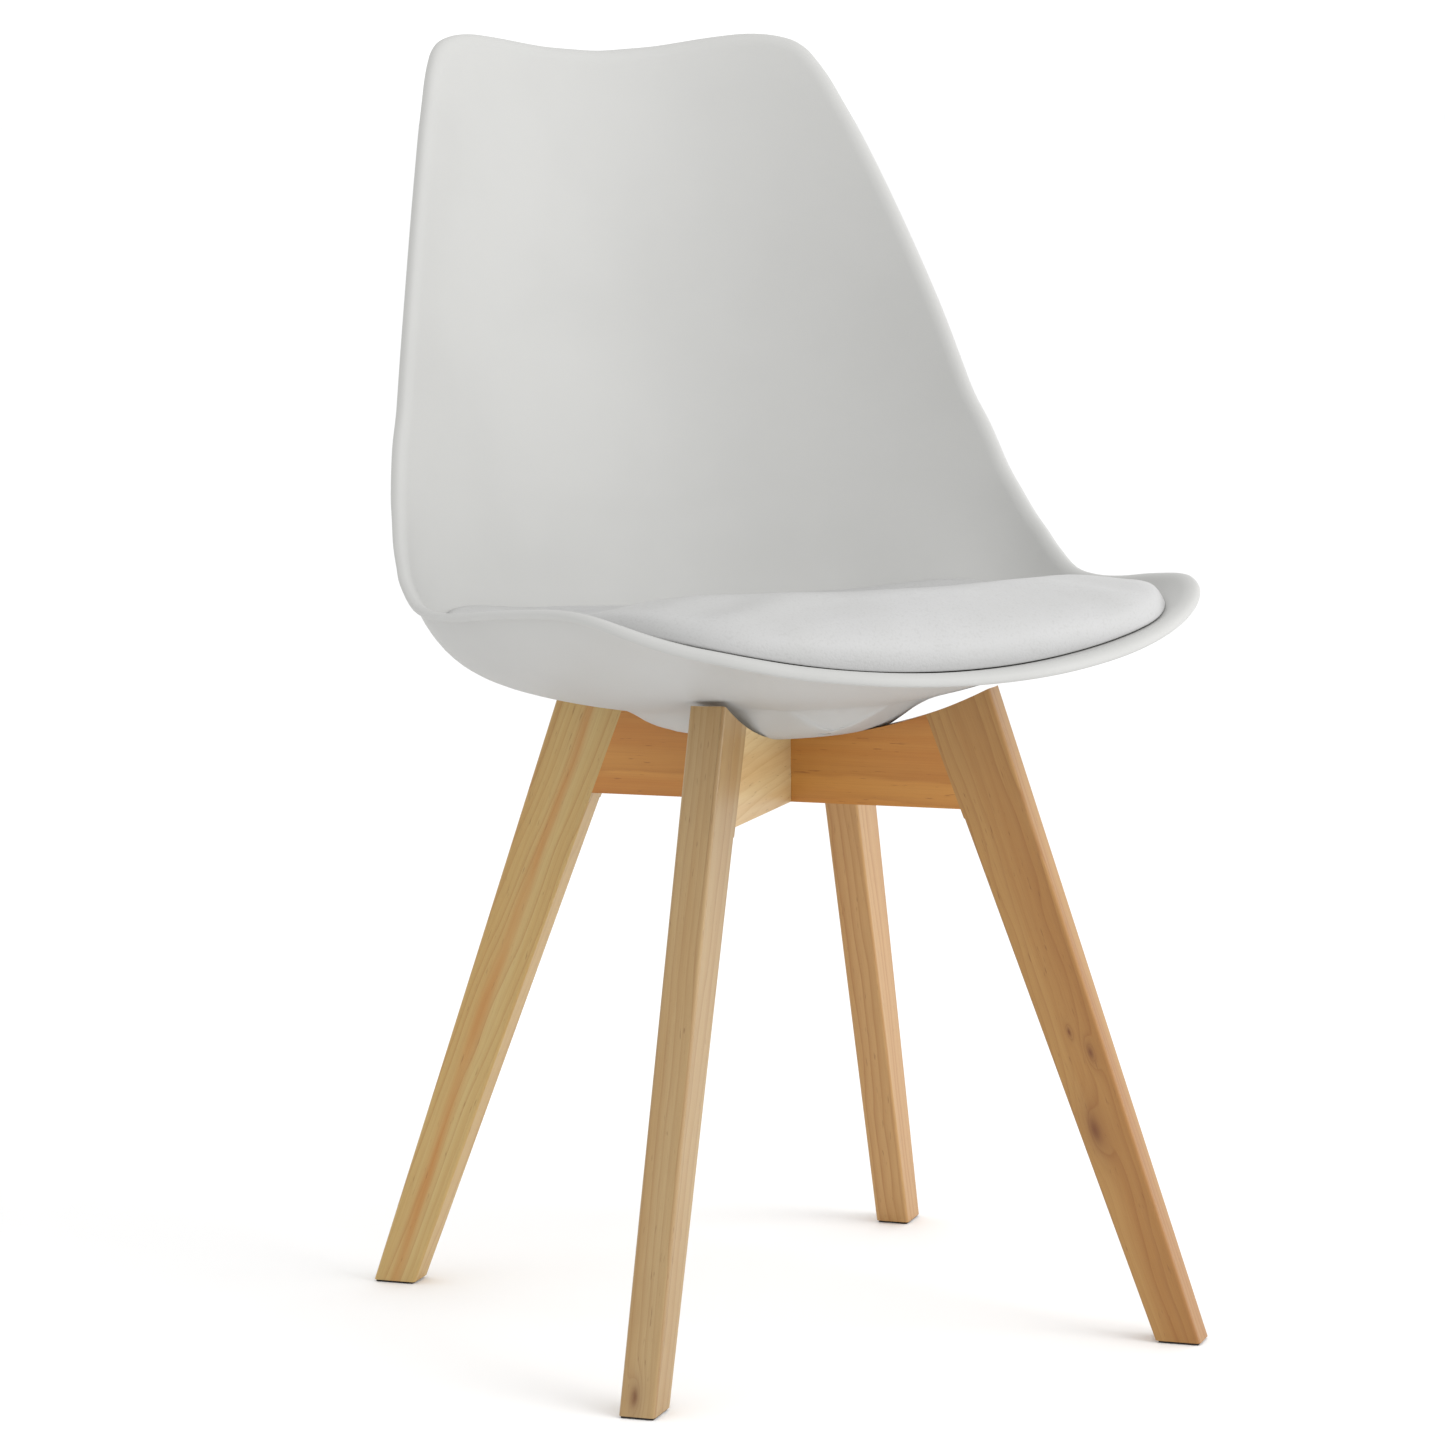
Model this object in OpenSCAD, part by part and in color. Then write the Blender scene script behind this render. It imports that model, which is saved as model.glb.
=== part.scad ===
// Dining chair: moulded shell seat with a fitted cushion on a crossed, splayed wooden base.
// Units mm. +Z up, front faces -Y, floor at Z = 0, origin in the middle of the footprint box.

/* [Overall] */
// Height of the two humps of the back above the floor
overall_h = 820; // [740:5:900]
// Width of the shell over its rolled lip
shell_w = 480; // [430:1:540]
// Depth of the shell, front lip to top of the back
shell_d = 526; // [460:1:580]
// Height of the lowest point of the shell, where the pad sits on the rails
seat_z = 374.5; // [340:0.5:420]

/* [Shell] */
// Wall thickness of the moulded shell
shell_t = 4.5; // [3:0.5:7]
// How far the lip rolls outwards
lip_reach = 9; // [5:0.5:14]
// How far the lip turns down
lip_drop = 8.5; // [6:0.5:14]
// Radius of the raised pad under the seat
pad_r = 78; // [60:1:95]
// Width of the soft step around the pad
pad_blend = 24; // [10:1:40]
// Height of the flat floor inside the bowl, above the pad's lowest point
floor_h = 20.5; // [18:0.5:28]

/* [Cushion] */
// Height of the cushion's crown above the shell's bowl
cushion_h = 54; // [42:1:68]
// Thickness of the cushion cover
cover_t = 1.2; // [0.8:0.1:2.5]
// Thickness of the cushion's base board
board_t = 3; // [2:0.5:6]

/* [Base] */
// Distance from the chair's centre to the outer corner of each foot
foot_r = 281; // [240:1:330]
// Outward lean of a leg's outer edge, mm per mm of height
lean_out = 0.338; // [0.2:0.002:0.45]
// Lean of a leg's inner edge, mm per mm of height
lean_in = 0.384; // [0.25:0.002:0.5]
// Width of a leg at the floor
foot_w = 29; // [22:0.5:40]
// Thickness of legs and rails
wood_t = 23; // [18:0.5:30]
// How far the rails reach below the seat's lowest point
rail_h = 40; // [30:0.5:60]
// Radius of the round hollow in the wood that carries the pad
cradle_r = 320; // [260:5:400]
// How far behind the crossing of the rails the hollow is lowest
cradle_y = 10; // [0:1:20]
// Rounding of the legs' outer edges
round_out = 2.5; // [1:0.5:8]
// Rounding of the legs' inner edges
round_in = 2; // [0.5:0.5:6]
// Thickness of the glides under the feet
glide_t = 1.5; // [1:0.5:6]

/* [Fixings] */
// Distance of the base bolts from the chair's centre
bolt_at = 52; // [40:1:62]
// Diameter of the base bolts
bolt_d = 6; // [5:1:8]
// Depth of the recess that hides each bolt head
recess_h = 10; // [6:0.5:14]
// Distance of the cushion screws from the chair's centre
screw_at = 62; // [50:1:68]
// Diameter of the dowels
dowel_d = 8; // [6:1:10]
// Length of the dowels
dowel_l = 40; // [30:1:44]

/* [Hidden] */
$fn = 48;
shell_c = [0.83, 0.83, 0.82];
cover_c = [0.80, 0.80, 0.79];
foam_c = [0.93, 0.90, 0.78];
board_c = [0.30, 0.30, 0.31];
leg_c = [0.80, 0.62, 0.40];
rail_c = [0.76, 0.56, 0.34];
dowel_c = [0.86, 0.72, 0.52];
steel_c = [0.62, 0.63, 0.65];
brass_c = [0.80, 0.66, 0.36];
glide_c = [0.16, 0.15, 0.14];
kx = (shell_w - 2 * lip_reach) / 462;
ky = (shell_d - lip_reach - lip_drop) / 508.5;
lift = seat_z - 374.5;
bend_z = 455;
kz = (overall_h - bend_z - lift) / (820.5 - bend_z);
floor_z = seat_z + floor_h;
rail_z = seat_z - rail_h;
// A wider or deeper bowl is flatter, so the hollow that carries it is flatter too
flat = pow(max(1, kx, ky), 2);
hollow_r = cradle_r * flat;
// Roundness of the bowl outside the pad; wood may not rise above it
bowl_r = 320 * flat;
function sag(q) = hollow_r - sqrt(max(1, hollow_r * hollow_r - q * q));
fit = 0.05;
lap_gap = 0.1;
// Middle of the shell, front to back: [y, z, side rise, side curl] from the front edge up
spine = [[-234, 441, 47.5, 33.6], [-212, 438.2, 50.4, 33.5], [-168, 428.8, 55.6, 33],
  [-110, 412.5, 51.5, 28.5], [-40, 397, 46.9, 28.7], [30, 392, 43.3, 35.4],
  [90, 399.5, 57.2, 47.7], [138, 421, 84.1, 34.2], [170, 458, 102.1, 14], [187, 505, 106.9, 4],
  [203, 560, 113.8, 1], [222, 635, 124.7, 0], [241, 715, 130.3, 0], [254, 770, 128.9, 0],
  [260, 800, 121.3, 0]];
// Half outline of the shell, top to front: [half width, place along the spine]
rim = [[0, 14.06], [40, 14.13], [70, 14.24], [98.5, 14.29], [118, 14.17], [129.3, 13.91],
  [136.6, 13.37], [143.5, 12.83], [159, 11.98], [174, 11.31], [187.5, 10.65], [199.5, 9.93],
  [213.3, 8.94], [223, 6.68], [227, 5.6], [228.3, 4.53], [224.3, 3.42], [213.5, 2.53],
  [200, 1.91], [184.5, 1.53], [161, 1.13], [129.5, 0.57], [88, -0.05], [45, -0.42],
  [0, -0.52]];
// Half outline of the cushion, rear to front
pad = [[0, 7.5], [52, 7.48], [98, 7.36], [142.5, 7.05], [177.5, 6.66], [199, 6.13],
  [208.5, 5.38], [212, 4.57], [210.2, 3.46], [200.8, 2.57], [187.5, 1.99], [171.5, 1.48],
  [150, 1], [121.5, 0.66], [85, 0.38], [45, 0.17], [0, 0.1]];

// Smooth curve through stations
function at(p, i) = i < 0 ? 2 * p[0] - p[1] : i >= len(p) ?
  2 * p[len(p) - 1] - p[len(p) - 2] : p[i];
function cr(a, b, c, d, t) = 0.5 * (2 * b + (c - a) * t
  + (2 * a - 5 * b + 4 * c - d) * t * t + (3 * b - a - 3 * c + d) * t * t * t);
function crt(a, b, c, d, t) = 0.5 * ((c - a)
  + 2 * (2 * a - 5 * b + 4 * c - d) * t + 3 * (3 * b - a - 3 * c + d) * t * t);
function seg(p, u) = max(0, min(len(p) - 2, floor(u)));
function curve(p, u) = let (i = seg(p, u), t = max(0, min(1, u - i)), x = u - i - t)
  cr(at(p, i - 1), p[i], p[i + 1], at(p, i + 2), t)
  + x * crt(at(p, i - 1), p[i], p[i + 1], at(p, i + 2), t);
function slope(p, u) = let (i = seg(p, u), t = max(0, min(1, u - i)))
  crt(at(p, i - 1), p[i], p[i + 1], at(p, i + 2), t);
// Closed outline: half going down on +X, then mirrored back up on -X
function half_line(p, n) = [for (i = [0 : (len(p) - 1) * n]) curve(p, i / n)];
function loop(h) = concat(h, [for (i = [len(h) - 2 : -1 : 1]) [-h[i][0], h[i][1]]]);
function smooth(t) = let (c = max(0, min(1, t))) c * c * (3 - 2 * c);

// Upper surface of the shell at lateral place x, spine place u, raised by h along its normal
function height(z) = lift + (z > bend_z ? bend_z + (z - bend_z) * kz : z);
function form(x, u, h) = let (s = curve(spine, u), d = slope(spine, u),
  dy = ky * d[0], dz = (s[1] > bend_z ? kz : 1) * d[1], q = sqrt(dy * dy + dz * dz),
  t = x / 232, r = s[2] * t * t + s[3] * pow(t, 12))
  [x * kx, ky * s[0] - dz / q * r, height(s[1]) + dy / q * r]
  + (h == 0 ? [0, 0, 0] : h * normal(x, u));
function normal(x, u) = let (a = form(x + 1, u, 0) - form(x - 1, u, 0),
  b = form(x, u + 0.02, 0) - form(x, u - 0.02, 0), c = cross(a, b)) c / norm(c);
function floored(p, z) = [p[0], p[1], max(p[2], z)];
// Underside: the wall's far face, drawn down to the round pad near the middle
function under(x, u) = let (p = form(x, u, -shell_t),
  q = norm([p[0], p[1] - cradle_y]), w = u > 8 ? 0 : 1 - smooth((q - pad_r) / pad_blend),
  b = seat_z - 0.1 + hollow_r - sqrt(max(1, hollow_r * hollow_r - q * q)))
  [p[0], p[1], w * min(p[2], b) + (1 - w) * p[2]];
function upper(x, u) = floored(form(x, u, 0), floor_z);
// Ribs run from a middle line out to an outline; k runs 0 at the middle to 1 at the outline
function mid_u(o, i, n, lo, hi) = 0.8 * max(lo, min(hi, o[1])) + 0.2 * (hi + (lo - hi) * i / n);
function rib(o, i, n, lo, hi, k) = let (j = i <= n ? i : 2 * n - i,
  m = mid_u(o, j, n, lo, hi)) [o[0] * k, m + (o[1] - m) * k];

// Closed solid skinned over rings, closed at both ends on a middle line
module skin(first, rings, last) {
  m = len(rings[0]);
  n = m / 2;
  k = len(rings);
  pts = concat(first, [for (r = rings) each r], last);
  base = n + 1;
  tail = base + k * m;
  tris_a = [for (i = [0 : m - 1]) let (j = (i + 1) % m, a = i <= n ? i : m - i,
    b = j == 0 ? 0 : j <= n ? j : m - j) each [[a, base + i, base + j], [b, a, base + j]]];
  tris_b = [for (q = [0 : k - 2], i = [0 : m - 1]) let (j = (i + 1) % m,
    a = base + q * m, b = a + m) each [[a + i, b + i, b + j], [a + j, a + i, b + j]]];
  tris_c = [for (i = [0 : m - 1]) let (j = (i + 1) % m, a = i <= n ? i : m - i,
    b = j == 0 ? 0 : j <= n ? j : m - j, c = base + (k - 1) * m)
    each [[c + i, tail + a, tail + b], [c + j, c + i, tail + b]]];
  polyhedron(points = pts, faces = concat(tris_a, tris_b, tris_c), convexity = 8);
}

// Shell rings
shell_n = 2;
shell_half = half_line(rim, shell_n);
shell_loop = loop(shell_half);
sn = len(shell_half) - 1;
shell_ks = [0.14, 0.26, 0.34, 0.42, 0.5, 0.62, 0.76, 0.88, 0.95, 1];
// Lip section: [outwards, along the wall's normal]
lip = [[0.4, -0.1], [0.72, -0.3], [0.93, -0.6], [1, -1]];
function outward(o, i) = let (m = len(shell_loop), a = shell_loop[(i + m - 1) % m],
  b = shell_loop[(i + 1) % m], p = form(a[0], a[1], 0), q = form(b[0], b[1], 0),
  t = q - p, c = cross(t, normal(o[0], o[1]))) -c / norm(c);
function lip_pt(o, i, a, b) = form(o[0], o[1], 0) + a * outward(o, i) + b * normal(o[0], o[1]);
shell_top = [for (k = shell_ks) [for (i = [0 : 2 * sn - 1])
  let (q = rib(shell_loop[i], i, sn, 3, 12.3, k)) upper(q[0], q[1])]];
shell_low = [for (k = shell_ks) [for (i = [0 : 2 * sn - 1])
  let (q = rib(shell_loop[i], i, sn, 3, 12.3, k)) under(q[0], q[1])]];
lip_outer = [for (s = lip) [for (i = [0 : 2 * sn - 1])
  lip_pt(shell_loop[i], i, s[0] * lip_reach, -abs(s[1]) * lip_drop * 0.62)]];
lip_edge = [for (s = [[1, -1], [0.58, -1]]) [for (i = [0 : 2 * sn - 1])
  lip_pt(shell_loop[i], i, s[0] * lip_reach, -lip_drop)]];
lip_inner = [[for (i = [0 : 2 * sn - 1])
  lip_pt(shell_loop[i], i, 0.5 * lip_reach, -shell_t - 1.6)]];
shell_mid = [for (i = [0 : sn]) mid_u(shell_half[i], i, sn, 3, 12.3)];
shell_rings = concat(shell_top, lip_outer, lip_edge, lip_inner,
  [for (j = [len(shell_ks) - 1 : -1 : 0]) shell_low[j]]);
all_y = [for (r = shell_rings) each [for (p = r) p[1]]];
shift_y = -(min(all_y) + max(all_y)) / 2;

module shell_body() {
  skin([for (u = shell_mid) upper(0, u)], shell_rings,
    [for (i = [0 : sn]) under(0, shell_mid[i])]);
}

// Cushion rings; board, foam and cover share them, so their faces meet exactly
cush_half = half_line(pad, 2);
cush_loop = loop(cush_half);
cn = len(cush_half) - 1;
cush_ks = [0.2, 0.4, 0.58, 0.74, 0.86, 0.94, 0.985];
wrap_h = 1.6;
puff_lean = 0.4;
board_h = wrap_h + cover_t;
foam_h = board_h + board_t;
function crown(k, u) = foam_h + (cushion_h - foam_h) * sqrt(max(0, 1 - k * k))
  * (1 - 0.58 * smooth((u - 3.9) / 3.6));
function cush(k) = [for (i = [0 : 2 * cn - 1]) rib(cush_loop[i], i, cn, 2.6, 6, k)];
function cush_ring(k, h, z) = [for (q = cush(k)) floored(form(q[0], q[1], h), z)];
cush_mid = [for (i = [0 : cn]) mid_u(cush_half[i], i, cn, 2.6, 6)];
function cush_axis(h, z) = [for (u = cush_mid) floored(form(0, u, h), z)];
function puffed(x, u, k, more) = let (c = crown(k, u) - foam_h)
  form(x, u, foam_h + more + puff_lean * c) + [0, 0, (1 - puff_lean) * c];
function crown_ring(k, grow, more) = [for (q = cush(k * grow)) puffed(q[0], q[1], k, more)];
function crown_axis(more) = [for (u = cush_mid) puffed(0, u, 0, more)];
foam_tops = [for (k = cush_ks) crown_ring(k, 1, 0)];
board_tops = [for (k = cush_ks) cush_ring(k, foam_h, floor_z + board_t)];
foam_edge = cush_ring(1, foam_h, floor_z + board_t);
board_lows = [for (k = cush_ks) cush_ring(k, board_h, floor_z)];
board_edge = cush_ring(1, board_h, floor_z);
function back_of(a) = [for (i = [len(a) - 1 : -1 : 0]) a[i]];

// Polar placing of the base: arms run to the feet at 45 degrees
arms = [225, 315, 135, 45];
module arm(i) {
  rotate([0, 0, arms[i]])
    children();
}
function leg_out(z) = foot_r - lean_out * z;
function leg_in(z) = foot_r - foot_w - lean_in * z;
cradle_z = seat_z + hollow_r;
// Round hollow in the base arm with index i, in that arm's own frame
module cradle_cut(i) {
  rotate([0, 0, -arms[i]])
    translate([0, cradle_y, 0]) {
      translate([0, 0, cradle_z])
        sphere(r = hollow_r, $fn = 180);
      // A tighter hollow stops at the pad, and the arms beyond it keep clear of the bowl
      if (hollow_r < bowl_r)
        difference() {
          translate([0, 0, seat_z + bowl_r])
            sphere(r = bowl_r, $fn = 180);
          cylinder(r = pad_r + pad_blend / 2, h = seat_z + 200);
        }
    }
}
module flat_part(pts) {
  rotate([90, 0, 0])
    translate([0, 0, -wood_t / 2])
      linear_extrude(wood_t)
        polygon(pts);
}
// Quarter-round cutter along a straight edge from point a to point b of the side view
module edge_cut(a, b, r, side, out) {
  len_ab = norm(b - a);
  tilt = atan2(b[0] - a[0], b[1] - a[1]);
  translate([a[0], side * wood_t / 2, a[1]])
    rotate([0, tilt, 0])
      translate([-out * r, -side * r, 0])
        difference() {
          translate([out > 0 ? 0 : -r - 1, side > 0 ? 0 : -r - 1, 0])
            cube([r + 1, r + 1, len_ab]);
          translate([0, 0, -1])
            cylinder(r = r, h = len_ab + 2);
        }
}
dowel_zs = [rail_z + 15, rail_z + 41];
function dowel_u(z) = leg_in(z);
module dowel_holes() {
  for (z = dowel_zs)
    translate([dowel_u(z) - dowel_l / 2 - 1, 0, z])
      rotate([0, 90, 0])
        cylinder(d = dowel_d + 2 * fit, h = dowel_l + 2);
}
module leg(i) {
  top = seat_z + 60;
  difference() {
    flat_part([[leg_in(glide_t), glide_t], [leg_out(glide_t), glide_t],
      [leg_out(top), top], [leg_in(top), top]]);
    cradle_cut(i);
    dowel_holes();
    for (s = [-1, 1])
      edge_cut([leg_out(0), 0], [leg_out(top), top], round_out, s, 1);
    for (s = [-1, 1])
      edge_cut([leg_in(0), 0], [leg_in(rail_z - 6), rail_z - 6], round_in, s, -1);
  }
}
lap_z = (rail_z + seat_z) / 2;
head_h = 3.3;
washer_t = 1.2;
seat_of_head = rail_z + recess_h;
insert_d = bolt_d + 2.6;
insert_z = seat_z + sag(bolt_at + cradle_y + insert_d / 2);
insert_h = floor_h - 11;
screw_z = floor_z - 7;
bolt_l = insert_z + insert_h - 1.4 - seat_of_head;
module rail_blank(i) {
  top = seat_z + 60;
  difference() {
    flat_part([[-leg_in(rail_z), rail_z], [leg_in(rail_z), rail_z],
      [leg_in(top), top], [-leg_in(top), top]]);
    cradle_cut(i);
    for (a = [0, 180])
      rotate([0, 0, a]) {
        dowel_holes();
        translate([bolt_at, 0, rail_z - 1])
          cylinder(d = bolt_d + 0.6, h = 80);
        translate([bolt_at, 0, rail_z - 1])
          cylinder(d = 16, h = recess_h + 1);
      }
  }
}
module bolt() {
  translate([0, 0, seat_of_head - washer_t - head_h]) {
    difference() {
      cylinder(d1 = 8.6, d2 = 10.5, h = head_h);
      translate([0, 0, -1])
        cylinder(d = 4.6, h = 3, $fn = 6);
    }
    translate([0, 0, head_h - 0.01])
      cylinder(d = bolt_d, h = bolt_l + 0.01);
  }
}

// Nodes
module seat_shell() {
  color(shell_c)
    translate([0, shift_y, 0])
      difference() {
        shell_body();
        for (i = [0 : 3])
          arm(i)
            translate([bolt_at, 0, seat_z - 2])
              cylinder(d = insert_d, h = insert_z + insert_h - seat_z + 2);
        for (a = [0 : 90 : 270])
          rotate([0, 0, a])
            translate([screw_at, 0, 0]) {
              translate([0, 0, seat_z - 2])
                cylinder(d = 9.4, h = screw_z - seat_z + 2);
              translate([0, 0, screw_z - 1])
                cylinder(d = 4.3, h = 30);
            }
      }
}
module shell_inserts() {
  color(brass_c)
    translate([0, shift_y, 0])
      for (i = [0 : 3])
        arm(i)
          translate([bolt_at, 0, insert_z])
            difference() {
              cylinder(d = insert_d, h = insert_h);
              translate([0, 0, -1])
                cylinder(d = bolt_d + 2 * fit, h = insert_h);
            }
}
module cushion_board() {
  color(board_c)
    translate([0, shift_y, 0])
      difference() {
        skin(cush_axis(foam_h, floor_z + board_t),
          concat(board_tops, [foam_edge, board_edge], back_of(board_lows)),
          cush_axis(board_h, floor_z));
        for (a = [0 : 90 : 270])
          rotate([0, 0, a])
            translate([screw_at, 0, floor_z - 5])
              cylinder(d = 4, h = 20);
      }
}
module cushion_foam() {
  color(foam_c)
    translate([0, shift_y, 0])
      skin(crown_axis(0), concat(foam_tops, [foam_edge], back_of(board_tops)),
        cush_axis(foam_h, floor_z + board_t));
}
module cushion_cover() {
  grow = 1.006;
  outer = [for (k = cush_ks) crown_ring(k, grow, cover_t)];
  color(cover_c)
    translate([0, shift_y, 0])
      skin(crown_axis(cover_t), concat(outer,
        [cush_ring(1.008, foam_h + 0.6, floor_z), cush_ring(1.008, wrap_h + 0.4, floor_z - 1),
        cush_ring(0.985, wrap_h, floor_z - 1), cush_ring(0.9, wrap_h, floor_z - 1),
        cush_ring(0.9, board_h, floor_z), cush_ring(0.94, board_h, floor_z),
        cush_ring(0.985, board_h, floor_z), board_edge, foam_edge], back_of(foam_tops)),
        crown_axis(0));
}
module cushion_screws() {
  color(steel_c)
    translate([0, shift_y, 0])
      for (a = [0 : 90 : 270])
        rotate([0, 0, a])
          translate([screw_at, 0, screw_z]) {
            translate([0, 0, -2.6])
              cylinder(d1 = 7, d2 = 8.6, h = 2.6);
            cylinder(d = 4, h = floor_z + board_t - screw_z - 0.4);
          }
}
module rail_lower() {
  color(rail_c)
    translate([0, shift_y, 0])
      arm(0)
        difference() {
          rail_blank(0);
          translate([-wood_t / 2 - lap_gap, -wood_t, lap_z])
            cube([wood_t + 2 * lap_gap, 2 * wood_t, 60]);
        }
}
module rail_upper() {
  color(rail_c)
    translate([0, shift_y, 0])
      arm(1)
        difference() {
          rail_blank(1);
          translate([-wood_t / 2 - lap_gap, -wood_t, lap_z - 60])
            cube([wood_t + 2 * lap_gap, 2 * wood_t, 60]);
        }
}
module one_leg(i) {
  color(leg_c)
    translate([0, shift_y, 0])
      arm(i)
        leg(i);
}
module leg_front_left() {
  one_leg(0);
}
module leg_front_right() {
  one_leg(1);
}
module leg_rear_left() {
  one_leg(2);
}
module leg_rear_right() {
  one_leg(3);
}
module leg_dowels() {
  color(dowel_c)
    translate([0, shift_y, 0])
      for (i = [0 : 3])
        arm(i)
          for (z = dowel_zs)
            translate([dowel_u(z) - dowel_l / 2, 0, z])
              rotate([0, 90, 0])
                cylinder(d = dowel_d, h = dowel_l);
}
module base_bolts() {
  color(steel_c)
    translate([0, shift_y, 0])
      for (i = [0 : 3])
        arm(i)
          translate([bolt_at, 0, 0])
            bolt();
}
module base_washers() {
  color(steel_c)
    translate([0, shift_y, 0])
      for (i = [0 : 3])
        arm(i)
          translate([bolt_at, 0, seat_of_head - washer_t])
            difference() {
              cylinder(d = 14, h = washer_t);
              translate([0, 0, -1])
                cylinder(d = bolt_d + 0.4, h = 4);
            }
}
module glide(i) {
  color(glide_c)
    translate([0, shift_y, 0])
      arm(i)
        translate([leg_in(0) + 1.2, -wood_t / 2 + 1.2, 0])
          cube([foot_w - 3, wood_t - 2.4, glide_t]);
}
module glide_front_left() {
  glide(0);
}
module glide_front_right() {
  glide(1);
}
module glide_rear_left() {
  glide(2);
}
module glide_rear_right() {
  glide(3);
}

seat_shell();
shell_inserts();
cushion_board();
cushion_foam();
cushion_cover();
cushion_screws();
rail_lower();
rail_upper();
leg_front_left();
leg_front_right();
leg_rear_left();
leg_rear_right();
leg_dowels();
base_bolts();
base_washers();
glide_front_left();
glide_front_right();
glide_rear_left();
glide_rear_right();
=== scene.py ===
"""Dining chair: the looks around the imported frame. Metres, +Z up, the chair's front faces -Y."""
import math
import bmesh
import bpy
import numpy as np
from mathutils import Matrix, Vector
from mathutils.bvhtree import BVHTree
from mathutils.kdtree import KDTree


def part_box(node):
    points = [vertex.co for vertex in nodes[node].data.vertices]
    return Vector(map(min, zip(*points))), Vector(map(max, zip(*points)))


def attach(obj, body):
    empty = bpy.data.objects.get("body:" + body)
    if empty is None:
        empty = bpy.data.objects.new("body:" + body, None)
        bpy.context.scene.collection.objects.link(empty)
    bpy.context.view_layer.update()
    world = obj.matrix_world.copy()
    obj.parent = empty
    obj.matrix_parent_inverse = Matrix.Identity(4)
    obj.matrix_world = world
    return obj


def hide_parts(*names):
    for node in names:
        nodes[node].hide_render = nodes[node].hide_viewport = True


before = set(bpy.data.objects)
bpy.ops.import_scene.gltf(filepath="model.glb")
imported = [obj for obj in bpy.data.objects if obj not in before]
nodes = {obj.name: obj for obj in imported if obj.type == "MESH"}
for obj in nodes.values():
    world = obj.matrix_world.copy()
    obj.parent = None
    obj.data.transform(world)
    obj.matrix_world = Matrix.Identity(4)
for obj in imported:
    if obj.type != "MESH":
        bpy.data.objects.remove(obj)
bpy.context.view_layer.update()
scene = bpy.context.scene
MM = 0.001
# The frame's origin is in the middle of the box; the tables below start at the rails' crossing.
SHIFT_Y = -7.5104


# ---------------------------------------------------------------- camera
def make_camera(place, yaw, pitch, roll, lens):
    yaw, pitch, roll = (math.radians(a) for a in (yaw, pitch, roll))
    ahead = Vector((math.sin(yaw) * math.cos(pitch), math.cos(yaw) * math.cos(pitch), -math.sin(pitch)))
    right = Vector((math.cos(yaw), -math.sin(yaw), 0))
    up = right.cross(ahead)
    across = right * math.cos(roll) + up * math.sin(roll)
    upward = up * math.cos(roll) - right * math.sin(roll)
    data = bpy.data.cameras.new("camera")
    data.lens = lens
    data.sensor_width = 36
    data.clip_end = 200
    cam = bpy.data.objects.new("camera", data)
    scene.collection.objects.link(cam)
    turn = Matrix((across, upward, -ahead)).transposed()
    cam.matrix_world = Matrix.Translation(place) @ turn.to_4x4()
    scene.camera = cam


make_camera((-1.4375, -2.8232, 0.8014), 26.391, 7.528, -0.271, 124.46)
scene.view_settings.view_transform = "Standard"
scene.view_settings.look = "None"

# ---------------------------------------------------------------- the shell's form, in millimetres
SHELL_T, LIP_REACH, LIP_DROP = 4.5, 9.0, 8.5
HALF_W, CURL_POWER = 232, 12  # where the side table's rise and curl are reached, and how late the curl comes
PAD_R, PAD_BLEND = 78.0, 24.0  # the round pad underneath, and its run-out into the bowl
SEAT_Z, FLOOR_Z = 374.5, 395.0  # the pad's lowest point, and the flat of the seat inside
CRADLE_R, CRADLE_Y, BEDDING = 320.0, 10.0, 0.1  # the wood's round hollow, and how far the pad beds into it
WALL_FROM = 8  # past this place along the middle line the shell is back, with no pad under it
SHELL_SPAN, CUSHION_SPAN = (3, 12.3), (2.6, 6)  # the stretch of middle line from which the ribs run out
# Middle of the shell, front to back: place, height, side rise, side curl
SPINE = np.array([[-234, 441, 47.5, 33.6], [-212, 438.2, 50.4, 33.5], [-168, 428.8, 55.6, 33],
                  [-110, 412.5, 51.5, 28.5], [-40, 397, 46.9, 28.7], [30, 392, 43.3, 35.4],
                  [90, 399.5, 57.2, 47.7], [138, 421, 84.1, 34.2], [170, 458, 102.1, 14],
                  [187, 505, 106.9, 4], [203, 560, 113.8, 1], [222, 635, 124.7, 0],
                  [241, 715, 130.3, 0], [254, 770, 128.9, 0], [260, 800, 121.3, 0]], float)
# Half outline of the shell, top to front: half width, place along the middle line
RIM = np.array([[0, 14.06], [40, 14.13], [70, 14.24], [98.5, 14.29], [118, 14.17], [129.3, 13.91],
                [136.6, 13.37], [143.5, 12.83], [159, 11.98], [174, 11.31], [187.5, 10.65], [199.5, 9.93],
                [213.3, 8.94], [223, 6.68], [227, 5.6], [228.3, 4.53], [224.3, 3.42], [213.5, 2.53],
                [200, 1.91], [184.5, 1.53], [161, 1.13], [129.5, 0.57], [88, -0.05], [45, -0.42],
                [0, -0.52]], float)
# Half outline of the cushion, rear to front
PAD = np.array([[0, 7.5], [52, 7.48], [98, 7.36], [142.5, 7.05], [177.5, 6.66], [199, 6.13],
                [208.5, 5.38], [212, 4.57], [210.2, 3.46], [200.8, 2.57], [187.5, 1.99], [171.5, 1.48],
                [150, 1], [121.5, 0.66], [85, 0.38], [45, 0.17], [0, 0.1]], float)


def between(a, b, c, d, t):
    """The smooth curve from b to c, which a and d lead into and out of."""
    bend, twist = 2 * a - 5 * b + 4 * c - d, 3 * b - a - 3 * c + d
    return 0.5 * (2 * b + (c - a) * t + bend * t ** 2 + twist * t ** 3)


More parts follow.
